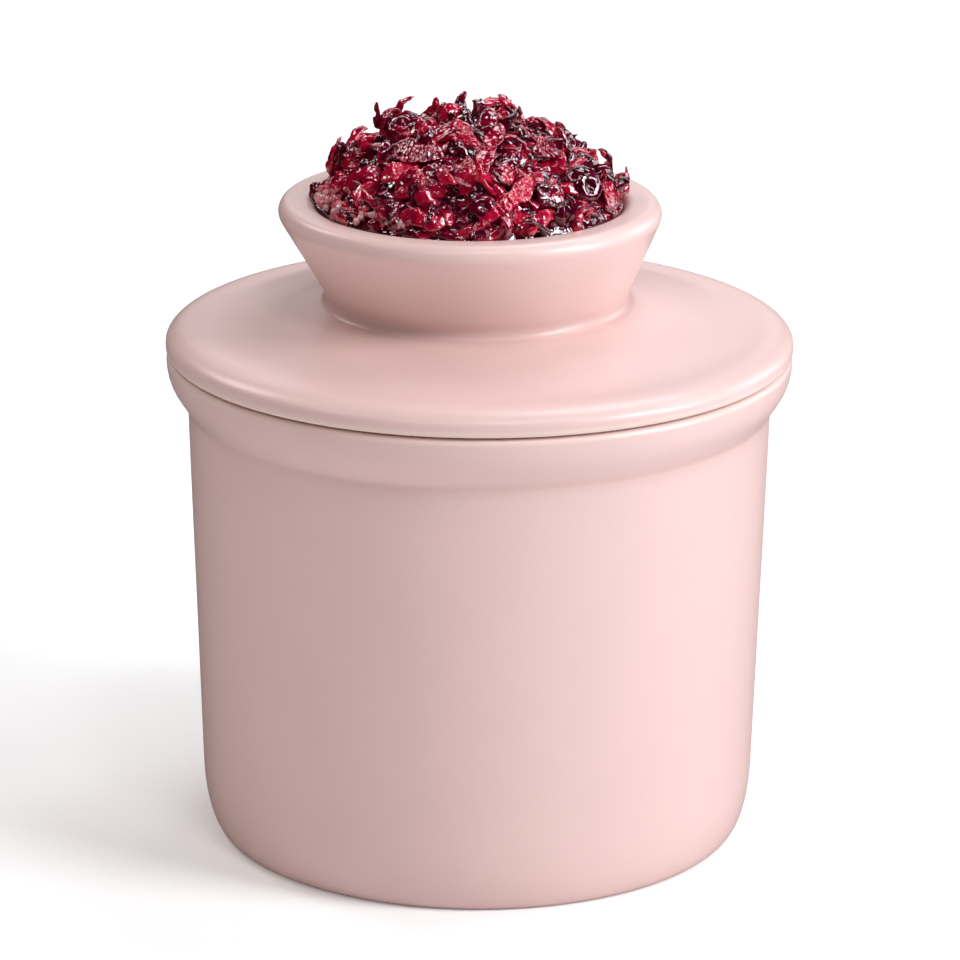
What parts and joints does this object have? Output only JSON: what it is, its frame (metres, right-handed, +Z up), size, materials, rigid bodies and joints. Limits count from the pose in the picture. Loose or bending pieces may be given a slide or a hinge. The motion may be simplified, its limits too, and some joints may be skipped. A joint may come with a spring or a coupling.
{
  "type": "butter crock",
  "caption": "Round pink stoneware butter crock: a collared pot, a lid whose butter bell hangs inside it, and dark red jam heaped in the lid's flared hollow handle.",
  "frame": {"origin": "middle of the base, on the surface the crock stands on", "axes": "+Z up along the pot's turning axis; -Y is the front; the handle leans slightly towards -X"},
  "size_m": [0.105, 0.105, 0.1262],
  "materials": {
    "pot_glaze": "satin",
    "lid_glaze": "satin",
    "jam": "gloss"
  },
  "bodies": {
    "pot": {"crock_pot": "pot_glaze"},
    "lid": {"bell_lid": "lid_glaze"},
    "jam": {"jam_heap": "jam"}
  },
  "joints": [
    {"name": "lid_lift", "type": "slide", "parent": "pot", "child": "lid", "axis": [0, 0, 1], "range_m": [0, 0.08]},
    {"name": "jam_lift", "type": "slide", "parent": "lid", "child": "jam", "axis": [0, 0, 1], "range_m": [0, 0.03]}
  ]
}
